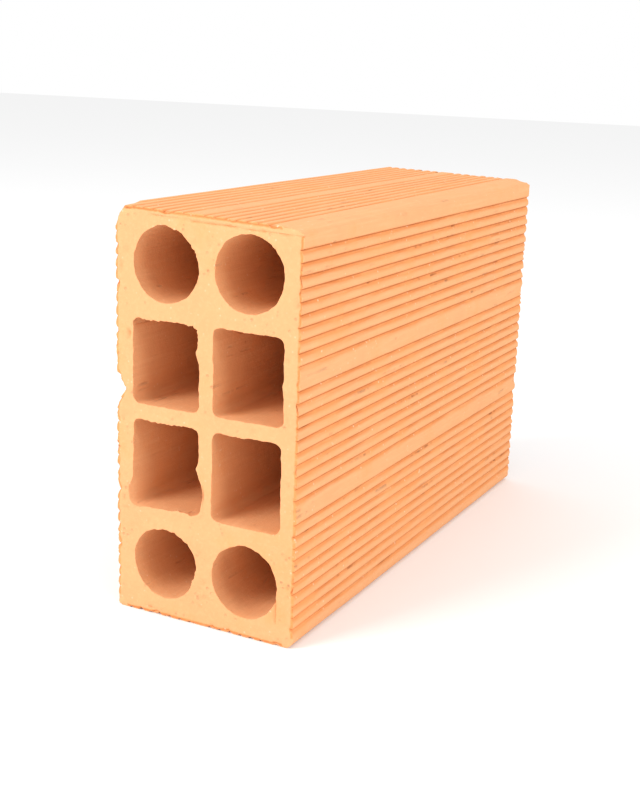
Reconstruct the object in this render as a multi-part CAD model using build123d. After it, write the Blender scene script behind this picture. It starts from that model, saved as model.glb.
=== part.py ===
import os
from build123d import *

os.makedirs("parts", exist_ok=True)

# Hollow brick of fired clay, standing on one narrow long side.
# Millimetres: X is the width, Y the length the holes run along, Z is up.
# The photographed wire-cut end is at -Y, the ribbed side beside it is at +X.
width = 100.0
height = 200.0
length = 300.0
edge_radius = 3.0
foot_radius = 5.0

# At +X the top ends in a plain shoulder that falls away a little.
shoulder_start = 39.5
shoulder_drop = 1.5

# Side ribs: each land swells outwards as it goes down, then steps back into a groove.
# Three bands of ten grooves on each side, with two grooves left out between them.
side_depth = 1.2
side_step = 1.3
side_swell = 3.9
side_pitch = 5.71
side_lowest = 10.2
side_places = 32
side_left_out = (10, 21)

# Top and bottom have shallower, even ribs and a plain strip where one groove is left out.
bed_depth = 0.8
bed_flank = 2.3
top_pitch = 5.5
top_first = -44.9
top_places = 15
bottom_pitch = 5.71
bottom_first = -41.8
bottom_places = 14
bed_left_out = 7

# Holes in two columns and four rows: round, squarish, squarish, round.
columns = (-21.5, 22.8)
round_radius = 18.0
round_rows = (28.0, 174.0)
square_width = 37.0
square_heights = (44.0, 42.0)
square_rows = (77.0, 127.1)
square_corner = 4.0


def outline():
    """The plain section, with its soft corners and its shoulder."""
    half = width / 2
    body = Polygon(
        (-half, 0),
        (half, 0),
        (half, height - shoulder_drop),
        (shoulder_start, height),
        (-half, height),
        align=None,
    )
    foot = [v for v in body.vertices() if v.X > 0 and v.Y == 0]
    body = fillet(foot, foot_radius)
    left = [v for v in body.vertices() if v.X < 0]
    shoulder = [v for v in body.vertices() if v.X == half and v.Y > height / 2]
    return fillet(left + shoulder, edge_radius)


def groove(depth, step, swell):
    """A groove in a face towards +X: the flank above it is step wide, the one below swell."""
    above = TangentArc((0, step), (-depth, 0), tangent=(0, -1))
    below = TangentArc((0, -swell), (-depth, 0), tangent=(0, 1))
    rim = Polyline((0, step), (1, step), (1, -swell), (0, -swell))
    return make_face([above, below, rim])


def side_grooves():
    """The bands of grooves on both sides."""
    right = groove(side_depth, side_step, side_swell)
    left = mirror(right, about=Plane.YZ)
    cuts = []
    for place in range(side_places):
        if place in side_left_out:
            continue
        z = side_lowest + side_pitch * place
        cuts.append(Pos(width / 2, z) * right)
        cuts.append(Pos(-width / 2, z) * left)
    return cuts


def bed_grooves(first, pitch, places, z, turn):
    """The grooves of the top or the bottom, on both sides of its plain strip."""
    cut = Rot(0, 0, turn) * groove(bed_depth, bed_flank, bed_flank)
    cuts = []
    for place in range(places):
        if place != bed_left_out:
            cuts.append(Pos(first + pitch * place, z) * cut)
    return cuts


def holes():
    """The eight holes that run the whole length."""
    cuts = []
    for x in columns:
        for z in round_rows:
            cuts.append(Pos(x, z) * Circle(round_radius))
        for z, tall in zip(square_rows, square_heights):
            cuts.append(Pos(x, z) * RectangleRounded(square_width, tall, square_corner))
    return cuts


section = outline() - side_grooves() - holes()
section -= bed_grooves(top_first, top_pitch, top_places, height, 90)
section -= bed_grooves(bottom_first, bottom_pitch, bottom_places, 0, -90)
brick = extrude(Plane.XZ * section, amount=length / 2, both=True)
brick.label = "brick"
export_step(brick, "parts/brick.step")
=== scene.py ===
import math
import random

import bmesh
import bpy
from mathutils import Matrix, Vector, noise


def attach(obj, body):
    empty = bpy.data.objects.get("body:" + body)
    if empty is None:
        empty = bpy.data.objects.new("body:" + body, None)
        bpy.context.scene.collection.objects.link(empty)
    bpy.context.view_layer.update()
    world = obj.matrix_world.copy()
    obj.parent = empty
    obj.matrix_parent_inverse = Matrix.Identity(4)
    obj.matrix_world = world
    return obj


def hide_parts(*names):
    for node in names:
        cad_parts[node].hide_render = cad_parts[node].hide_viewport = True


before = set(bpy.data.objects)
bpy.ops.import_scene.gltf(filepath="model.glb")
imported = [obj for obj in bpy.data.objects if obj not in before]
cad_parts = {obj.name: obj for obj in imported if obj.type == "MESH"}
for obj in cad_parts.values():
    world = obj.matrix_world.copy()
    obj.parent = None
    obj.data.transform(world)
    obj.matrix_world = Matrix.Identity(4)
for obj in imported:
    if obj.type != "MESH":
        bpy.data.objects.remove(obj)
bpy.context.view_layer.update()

# ---------------------------------------------------------------------------------------------
# The brick: one piece of coarse red clay, pressed through a die with eight cores, cut to length
# by a wire and fired. The die combs its long sides, the wire drags burrs across its ends.
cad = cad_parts["brick"]
brick = bpy.data.objects.new("clay_brick", cad.data.copy())
bpy.context.scene.collection.objects.link(brick)
bpy.ops.object.select_all(action="DESELECT")
bpy.context.view_layer.objects.active = brick
brick.select_set(True)
bpy.ops.mesh.customdata_custom_splitnormals_clear()
bpy.ops.object.mode_set(mode="EDIT")
bpy.ops.mesh.select_all(action="SELECT")
bpy.ops.mesh.remove_doubles(threshold=1e-6)
bpy.ops.object.mode_set(mode="OBJECT")

mm = 0.001
half_length = 150.0
columns = (-21.5, 22.8)
holes = [(x, z, 0.0, 0.0, 18.0) for x in columns for z in (28.0, 174.0)]
holes += [(x, z, 14.5, tall / 2 - 4.0, 4.0) for x in columns for z, tall in ((77.0, 44.0), (127.1, 42.0))]


def hole_edge(x, z, hole):
    """How far a point lies outside a hole's wall, and the direction away from the hole."""
    dx, dz = x - hole[0], z - hole[1]
    qx, qz = abs(dx) - hole[2], abs(dz) - hole[3]
    if qx > 0 and qz > 0 or hole[2] == 0:
        far = math.hypot(max(qx, 0), max(qz, 0)) or 1e-9
        return far - hole[4], math.copysign(max(qx, 0), dx) / far, math.copysign(max(qz, 0), dz) / far
    if qx > qz:
        return qx - hole[4], math.copysign(1, dx), 0.0
    return qz - hole[4], 0.0, math.copysign(1, dz)


def nearest_hole(x, z):
    return min((hole_edge(x, z, hole) + (i,) for i, hole in enumerate(holes)), key=lambda e: e[0])


def slice_up(bm, faces, axis, planes):
    """Cuts the faces along planes square to an axis, the middle plane first."""
    if not planes or not faces:
        return
    middle = len(planes) // 2
    co, no = Vector((0, 0, 0)), Vector((0, 0, 0))
    co[axis], no[axis] = planes[middle] * mm, 1
    around = {e for f in faces for e in f.edges}
    corners = {v for f in faces for v in f.verts}
    made = bmesh.ops.bisect_plane(bm, geom=faces + list(around) + list(corners), dist=0.00015, plane_co=co, plane_no=no)
    faces = [f for f in made["geom"] if isinstance(f, bmesh.types.BMFace)]
    low = [f for f in faces if f.calc_center_median()[axis] < co[axis]]
    high = [f for f in faces if f.calc_center_median()[axis] >= co[axis]]
    slice_up(bm, low, axis, planes[:middle])
    slice_up(bm, high, axis, planes[middle + 1:])


def spaced(first, last, step):
    count = round((last - first) / step)
    return [first + (last - first) * i / count for i in range(1, count)]


bm = bmesh.new()
bm.from_mesh(brick.data)
diagonals = [
    e for e in bm.edges
    if abs(e.verts[0].co.y - e.verts[1].co.y) > 0.1
    and (e.verts[0].co.xz - e.verts[1].co.xz).length > 1e-6
]
bmesh.ops.dissolve_edges(bm, edges=diagonals, use_verts=False)

# Slices across the length: close together behind the cut ends, where the edges are ragged.
near_end = (0.7, 1.6, 2.8, 4.5)
slices = sorted(
    [-half_length + s for s in near_end] + [half_length - s for s in near_end]
    + spaced(-half_length + near_end[-1], half_length - near_end[-1], 13.2)
)
slice_up(bm, bm.faces[:], 1, slices)

# The two cut ends get a fine grid, so that pits, cracks and burrs are real shapes.
coarse_x, coarse_z = list(columns), [28.0, 77.0, 127.1, 174.0]
for end, step in ((-1, 0.9), (1, 1.3)):
    def band():
        limit = (half_length - near_end[-1] + 0.1) * mm
        return [f for f in bm.faces if f.calc_center_median().y * end > limit]
    slice_up(bm, band(), 0, coarse_x)
    slice_up(bm, band(), 2, coarse_z)
    inner = []
    for e in bm.edges:
        a, b = e.verts[0].co, e.verts[1].co
        if min(a.y * end, b.y * end) < (half_length - 0.01) * mm or len(e.link_faces) != 2:
            continue
        if any(abs(f.normal.y) < 0.9 for f in e.link_faces):
            continue
        on_x = any(max(abs(a.x - p * mm), abs(b.x - p * mm)) < 0.0002 for p in coarse_x)
        on_z = any(max(abs(a.z - p * mm), abs(b.z - p * mm)) < 0.0002 for p in coarse_z)
        if not on_x and not on_z:
            inner.append(e)
    bmesh.ops.dissolve_edges(bm, edges=inner, use_verts=True)
    xs = [-50.0] + coarse_x + [50.0]
    zs = [0.0] + coarse_z + [200.0]
    slice_up(bm, band(), 0, [p for a, b in zip(xs, xs[1:]) for p in spaced(a, b, step)])
    slice_up(bm, band(), 2, [p for a, b in zip(zs, zs[1:]) for p in spaced(a, b, step)])
bmesh.ops.triangulate(bm, faces=[f for f in bm.faces if len(f.verts) > 4])
bm.normal_update()

# Three finishes: combed skin, wire-cut end, wall of a hole.
for f in bm.faces:
    c = f.calc_center_median() / mm
    if abs(c.y) > half_length - 0.01:
        f.material_index = 1
    elif nearest_hole(c.x, c.z)[0] < 0.4:
        f.material_index = 2
    else:
        f.material_index = 0
    f.smooth = True

# groove: depth into the combed ribs, for the pale dust on the crests and the painted shade in the furrows.
groove = bm.verts.layers.float.new("groove")
# dark: painted shade for the pits, the crack and the seam on the ends.
dark = bm.verts.layers.float.new("dark")
burr = bm.verts.layers.float.new("burr")


def smooth(low, high, value):
    t = min(max((value - low) / (high - low), 0.0), 1.0)
    return t * t * (3 - 2 * t)


def bump(value, centre, reach):
    return math.exp(-((value - centre) / reach) ** 2)


def ripple(x, y, z, size, seed=0):
    return noise.noise(Vector((x / size + seed * 17.3, y / size + seed * 5.1, z / size - seed * 9.7)))


# Pits in the photographed end: x, z, half width, half height, depth.
dice = random.Random(7)
pits = [(48, 162.5, 1.2, 1.8, 1.1), (-42, 139.5, 0.9, 1.9, 0.9), (-46, 171, 0.8, 3.0, 0.9),
        (-45.5, 97, 0.9, 1.4, 0.8), (-44, 52, 1.4, 1.0, 0.9), (1.5, 172, 0.9, 1.6, 0.8),
        (46.5, 30, 0.9, 1.1, 0.8), (0.5, 22, 1.3, 0.9, 0.8), (-30, 2.8, 1.8, 0.7, 0.8), (12, 196, 1.6, 0.8, 0.8)]
pits += [(dice.uniform(-48, 48), dice.uniform(2, 198), dice.uniform(0.6, 1.2), dice.uniform(0.6, 1.6), dice.uniform(0.3, 0.8))
         for i in range(70)]
back_pits = [(dice.uniform(-48, 48), dice.uniform(2, 198), dice.uniform(0.8, 1.6), dice.uniform(0.8, 2.0), dice.uniform(0.4, 1.1))
             for i in range(70)]

# Rough places round the rims of the photographed end: hole number, angle from +X, half spread,
# how far the clay closes over the hole (below zero it is torn away).
rims = [(1, 38, 26, 1.6), (1, 75, 12, 1.0), (0, -22, 22, 1.5), (0, 60, 26, 0.9), (0, 100, 15, 0.7),
        (5, 50, 20, 1.4), (5, 110, 25, 1.1), (5, 20, 8, 1.7), (4, 95, 32, 1.2), (4, 5, 10, 1.2),
        (4, -28, 20, -2.6), (4, -140, 14, -2.8), (4, -70, 20, 1.6), (2, 120, 20, 0.6), (3, 60, 25, 0.6),
        (6, 100, 25, 0.7), (7, 80, 30, 0.6), (7, -40, 12, -0.7)]

for v in bm.verts:
    x, y, z = v.co / mm
    end = -1 if y < 0 else 1
    depth = half_length - abs(y)
    edge, away_x, away_z, which = nearest_hole(x, z)
    skin_x, skin_z = smooth(46.5, 48.6, abs(x)), max(smooth(196, 198.5, z), smooth(4, 1.5, z))
    outside = max(skin_x, skin_z)
    if abs(x) > 48.6 and 6 < z < 194:
        v[groove] = min((50 - abs(x)) / 1.2, 1)
    elif abs(x) < 46 and z > 198.9:
        v[groove] = min((200 - z) / 0.8, 1) * (x < 39)
    elif abs(x) < 44 and z < 1.1:
        v[groove] = min(z / 0.8, 1)
    nx, ny, nz = x, y, z

    # The combed skin isn't dead straight: it wanders by a few tenths, always inwards.
    wander = 0.22 + 0.2 * ripple(x, y * 0.5, z, 26) + 0.1 * ripple(x, y, z * 2, 9, 1)
    nx -= math.copysign(wander, x) * skin_x
    nz += (wander * (z < 100) - wander * (z > 100)) * skin_z * 0.6

    # The top has sunk towards the ribbed side.
    sink = (3.5 - 1.3 * (y + half_length) / (2 * half_length)) * (x + 50) / 100
    nz -= sink * smooth(191, 199, z)

    if depth < 14:
        seed = 0 if end < 0 else 40
        fade = math.exp(-depth / 1.6)
        # The wire-cut face lies a little behind the tips of its burrs.
        if depth < 0.001:
            inward = 0.55 + 0.22 * ripple(x, 0, z, 30, 2 + seed) + 0.16 * ripple(x, 0, z, 5, 3 + seed)
            inward += 0.10 * ripple(x * 2.2, 0, z * 0.5, 2.2, 4 + seed)
        else:
            inward = 0.0
        # Burrs and tears round the holes.
        if edge < 5:
            angle = math.degrees(math.atan2(z - holes[which][1], x - holes[which][0]))
            near = math.exp(-((max(edge, 0) / 1.8) ** 2))
            rough = ripple(x, which * 30, z, 2.6, 5 + seed) * 0.35 + ripple(x, which * 30, z, 7, 6 + seed) * 0.4
            close = max(rough, -0.4)
            lip = 0.0
            reach = 1.6
            if end < 0:
                for number, at, spread, amount in rims:
                    if number != which:
                        continue
                    turn = (angle - at + 180) % 360 - 180
                    share = math.exp(-((turn / spread) ** 2))
                    if amount > 0:
                        jag = 0.6 + 0.7 * abs(ripple(x, 3, z, 1.9, 7)) + 0.5 * ripple(x, 8, z, 1.1, 8)
                        close += amount * share * jag
                        lip += 0.5 * share
                    else:
                        close += amount * share
                        reach = 4.0
                        lip += 0.7 * share
            else:
                close += 0.7 * max(ripple(x, 11, z, 9, 9 + seed), 0)
                lip += 0.3
            pull = close * near * math.exp(-depth / reach)
            nx -= away_x * pull
            nz -= away_z * pull
            if depth < 0.001:
                ridge = math.exp(-(((edge - 0.9) / 1.1) ** 2))
                inward -= lip * ridge * (0.6 + 0.6 * abs(ripple(x, 2, z, 3, 10 + seed)))
                v[burr] = min(lip * ridge * 1.2, 1)

        # Chips along the outer edges of the ends.
        border = min(50 - abs(x), z, 200 - z)
        if border < 5:
            bite = max(ripple(x, 0, z, 4.5, 11 + seed) + 0.35 * ripple(x, 0, z, 1.5, 12 + seed) - 0.05, 0) * 2.2
            bite *= math.exp(-depth / 2.2) * math.exp(-((border / 2.2) ** 2))
            if 50 - abs(x) <= border + 0.01:
                nx -= math.copysign(bite, x)
            elif z < 100:
                nz += bite * 0.6
            else:
                nz -= bite * 0.6
            if depth < 0.001:
                inward += bite * 0.5 + 0.35 * math.exp(-((border / 0.8) ** 2))
        if end < 0:
            # A dent in the left edge, and the broken corner above it.
            if x < -40:
                web = (-40 - x) / 10
                nx += 5.0 * bump(z, 112, 5.0) * web * math.exp(-depth / 9)
                nx += 1.3 * bump(z, 62, 3.0) * web * math.exp(-depth / 3)
            over = ((x + 50) * -10 + (z - 190) * 6) / 11.66 + 0.6 * ripple(x, y, z, 4, 13)
            if over > 0 and x < -30 and z > 180:
                gone = over * smooth(12, 3, depth)
                nx += gone * 10 / 11.66
                nz -= gone * 6 / 11.66
            if depth < 0.001:
                # The skin of clay smeared over below the top edge, a crack, and the pits: each sunk in, and darkened
                # with painted shade in its hollow.
                seam_z = 197.2 - sink * 0.9 + 0.5 * ripple(x, 0, 0, 9, 14) + 0.3 * ripple(x, 0, 0, 2, 15)
                seam = math.exp(-(((z - seam_z) / 0.7) ** 2)) * smooth(-34, -26, x)
                seam *= 0.5 + smooth(-0.3, 0.2, ripple(x, 0, 0, 6, 16)) * 0.5
                inward += 0.9 * seam
                # Painted shade along the sunken seam.
                v[dark] = max(v[dark], seam * 0.8)
                crack_x = 40 + 0.5 * ripple(0, 0, z, 3, 17)
                crack = math.exp(-(((x - crack_x) / 0.6) ** 2)) * smooth(9, 12, z) * smooth(25, 22, z)
                inward += 0.9 * crack
                # Painted shade in the crack.
                v[dark] = max(v[dark], crack)
        if depth < 0.001:
            for px, pz, rx, rz, deep in (pits if end < 0 else back_pits):
                if abs(x - px) < 3 * rx and abs(z - pz) < 3 * rz:
                    share = math.exp(-(((x - px) / rx) ** 2) - ((z - pz) / rz) ** 2)
                    inward += deep * share
                    # Painted shade in the pit, darker for deeper pits.
                    v[dark] = max(v[dark], share * min(deep, 0.9))
            ny -= end * max(inward, 0.02)
        else:
            ny -= end * 0.55 * fade * min(1, 1)
    v.co = Vector((min(max(nx, -50), 50), min(max(ny, -150), 150), min(max(nz, 0), 200))) * mm

bm.normal_update()
bm.to_mesh(brick.data)
bm.free()
bpy.ops.object.shade_smooth_by_angle(angle=math.radians(38))
print("triangles", sum(len(p.vertices) - 2 for p in brick.data.polygons))


def colour(r, g, b):
    """A colour as it is seen on a screen, 0 to 255, for a shader."""
    return tuple(((c / 255 + 0.055) / 1.055) ** 2.4 for c in (r, g, b)) + (1.0,)


def add(tree, kind, inputs=None, **settings):
    """A node with its settings, and its inputs as values or links."""
    node = tree.nodes.new(kind)
    for name, value in settings.items():
        setattr(node, name, value)
    for name, value in (inputs or {}).items():
        if isinstance(value, bpy.types.NodeSocket):
            tree.links.new(value, node.inputs[name])
        else:
            node.inputs[name].default_value = value
    return node


def noise_of(tree, vector, scale, detail=3.0, rough=0.55, distort=0.0):
    made = add(tree, "ShaderNodeTexNoise", {"Vector": vector, "Scale": scale, "Detail": detail, "Roughness": rough, "Distortion": distort})
    return made.outputs[0]


def ranged(tree, value, low, high, to_low=0.0, to_high=1.0):
    made = add(tree, "ShaderNodeMapRange", {"Value": value, "From Min": low, "From Max": high, "To Min": to_low, "To Max": to_high})
    return made.outputs[0]


def sum_of(tree, a, b, how="ADD"):
    return add(tree, "ShaderNodeMath", {0: a, 1: b}, operation=how).outputs[0]


def mixed(tree, share, a, b):
    return add(tree, "ShaderNodeMix", {0: share, 6: a, 7: b}, data_type="RGBA").outputs[2]


# Fired clay as the three finishes share it: cloudy colour, streaks, pale grains, small pores.
grain = bpy.data.node_groups.new("fired_clay_grain", "ShaderNodeTree")
grain.interface.new_socket("Vector", in_out="INPUT", socket_type="NodeSocketVector")
grain.interface.new_socket("Drag", in_out="INPUT", socket_type="NodeSocketVector")
for name in ("Clouds", "Streaks", "Grains", "Pores", "Height"):
    grain.interface.new_socket(name, in_out="OUTPUT", socket_type="NodeSocketFloat")
given = grain.nodes.new("NodeGroupInput")
out = grain.nodes.new("NodeGroupOutput")
place = given.outputs["Vector"]
clouds = noise_of(grain, place, 38, 6, 0.62)
stretched = add(grain, "ShaderNodeVectorMath", {0: place, 1: given.outputs["Drag"]}, operation="MULTIPLY").outputs[0]
streaks = noise_of(grain, stretched, 1.0, 4, 0.6, 0.3)
cells = add(grain, "ShaderNodeTexVoronoi", {"Vector": place, "Scale": 330.0}).outputs[0]
some = ranged(grain, noise_of(grain, place, 150, 2), 0.54, 0.62)
grains = sum_of(grain, ranged(grain, cells, 0.22, 0.10), some, "MULTIPLY")
holes_cells = add(grain, "ShaderNodeTexVoronoi", {"Vector": stretched, "Scale": 0.55}).outputs[0]
few = ranged(grain, noise_of(grain, place, 90, 2), 0.52, 0.62)
pores = sum_of(grain, ranged(grain, holes_cells, 0.26, 0.10), few, "MULTIPLY")
fine = noise_of(grain, place, 1500, 3, 0.6)
height = sum_of(grain, sum_of(grain, streaks, 0.9, "MULTIPLY"), sum_of(grain, fine, 0.35, "MULTIPLY"))
height = sum_of(grain, height, sum_of(grain, pores, 1.6, "MULTIPLY"), "SUBTRACT")
height = sum_of(grain, height, sum_of(grain, noise_of(grain, place, 260, 4, 0.6), 0.9, "MULTIPLY"))
for name, value in (("Clouds", clouds), ("Streaks", streaks), ("Grains", grains), ("Pores", pores), ("Height", height)):
    grain.links.new(value, out.inputs[name])


def clay(name, drag, deep, middle, pale, strength):
    """One finish of the clay. Returns its tree, the grain node, the colour so far and its shader."""
    material = bpy.data.materials.new(name)
    material.use_nodes = True
    tree = material.node_tree
    shader = tree.nodes["Principled BSDF"]
    place = add(tree, "ShaderNodeTexCoord").outputs["Object"]
    node = add(tree, "ShaderNodeGroup", node_tree=grain)
    tree.links.new(place, node.inputs["Vector"])
    node.inputs["Drag"].default_value = drag
    base = mixed(tree, ranged(tree, node.outputs["Clouds"], 0.36, 0.64), deep, middle)
    base = mixed(tree, ranged(tree, node.outputs["Streaks"], 0.50, 0.72, 0, 0.55), base, pale)
    base = mixed(tree, sum_of(tree, node.outputs["Grains"], 0.6, "MULTIPLY"), base, colour(244, 214, 184))
    # Painted shade: the pores darken, as shade falls inside them.
    base = mixed(tree, sum_of(tree, node.outputs["Pores"], 0.65, "MULTIPLY"), base, colour(120, 62, 34))
    relief = add(tree, "ShaderNodeBump", {"Strength": strength, "Distance": 0.0005, "Height": node.outputs["Height"]})
    tree.links.new(relief.outputs[0], shader.inputs["Normal"])
    shader.inputs["Roughness"].default_value = 0.92
    shader.inputs["Specular IOR Level"].default_value = 0.18
    brick.data.materials.append(material)
    return tree, node, place, base, shader


brick.data.materials.clear()

# The combed skin: pale dust on the crests of the ribs, raw orange on their slopes, and painted shade darkening the
# furrows.
tree, node, place, base, shader = clay(
    "combed_skin", (520, 26, 520), colour(212, 132, 76), colour(226, 150, 92), colour(232, 170, 118), 0.55)
groove_depth = add(tree, "ShaderNodeAttribute", attribute_name="groove").outputs["Fac"]
crest = ranged(tree, sum_of(tree, groove_depth, ranged(tree, node.outputs["Clouds"], 0.3, 0.7, -0.2, 0.2)), 0.42, 0.02)
base = mixed(tree, sum_of(tree, crest, 0.62, "MULTIPLY"), base, colour(234, 178, 130))
# Painted shade: the furrows darken towards the bottom of each groove.
base = mixed(tree, ranged(tree, groove_depth, 0.72, 1.0, 0, 0.75), base, colour(176, 98, 54))
tree.links.new(base, shader.inputs["Base Color"])

# The wire-cut end: rougher, with drag marks up and down; its lighter colours are painted light, as the end faces the
# lamps.
tree, node, place, base, shader = clay(
    "wire_cut_end", (620, 620, 120), colour(222, 148, 96), colour(236, 168, 116), colour(242, 190, 145), 0.6)
recess_shade = add(tree, "ShaderNodeAttribute", attribute_name="dark").outputs["Fac"]
lip = add(tree, "ShaderNodeAttribute", attribute_name="burr").outputs["Fac"]
base = mixed(tree, sum_of(tree, lip, 0.5, "MULTIPLY"), base, colour(246, 196, 150))
# Painted shade: the pits, the crack and the seam darken.
base = mixed(tree, sum_of(tree, recess_shade, 0.75, "MULTIPLY"), base, colour(140, 74, 40))
tree.links.new(base, shader.inputs["Base Color"])

# The walls of the holes: smooth from the core; their darker, deeper orange is painted shade inside the holes.
tree, node, place, base, shader = clay(
    "hole_wall", (420, 14, 420), colour(196, 108, 58), colour(214, 128, 74), colour(224, 146, 92), 0.4)
tree.links.new(base, shader.inputs["Base Color"])

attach(brick, "root")
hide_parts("brick")

# ---------------------------------------------------------------------------------------------
# The studio: a white floor that runs out of sight, two large soft lamps and a bright room.
bpy.ops.mesh.primitive_plane_add(size=12, location=(0, 0, 0))
floor = bpy.context.object
floor.name = "floor"
paper = bpy.data.materials.new("paper")
paper.use_nodes = True
paper.node_tree.nodes["Principled BSDF"].inputs["Base Color"].default_value = (0.9, 0.9, 0.9, 1)
paper.node_tree.nodes["Principled BSDF"].inputs["Roughness"].default_value = 1.0
paper.node_tree.nodes["Principled BSDF"].inputs["Specular IOR Level"].default_value = 0.0
floor.data.materials.append(paper)

world = bpy.data.worlds.new("room")
bpy.context.scene.world = world
world.use_nodes = True
world.node_tree.nodes["Background"].inputs["Color"].default_value = (1, 1, 1, 1)
world.node_tree.nodes["Background"].inputs["Strength"].default_value = 1.0

for name, where, size, power in (
    ("soft_lamp_left", (-0.9, -1.5, 1.1), 0.9, 26),
    ("soft_lamp_right", (1.8, -0.4, 1.2), 1.0, 16),
):
    bpy.ops.object.light_add(type="AREA", location=where)
    lamp = bpy.context.object
    lamp.name = name
    lamp.data.size = size
    lamp.data.energy = power
    lamp.rotation_euler = (Vector((0, 0, 0.1)) - Vector(where)).to_track_quat("-Z", "Y").to_euler()

bpy.ops.object.camera_add(location=(0.3049, -0.6274, 0.2656))
camera = bpy.context.object
camera.name = "camera"
camera.data.lens = 57.13
camera.data.sensor_width = 36
camera.data.clip_start = 0.01
right = Vector((0.8854, 0.4637, 0.0323)).normalized()
ahead = Vector((-0.4409, 0.8598, -0.2575)).normalized()
up = right.cross(ahead)
camera.rotation_euler = Matrix((right, up, -ahead)).transposed().to_euler()
bpy.context.scene.camera = camera
bpy.context.scene.view_settings.view_transform = "Standard"

bpy.context.view_layer.update()
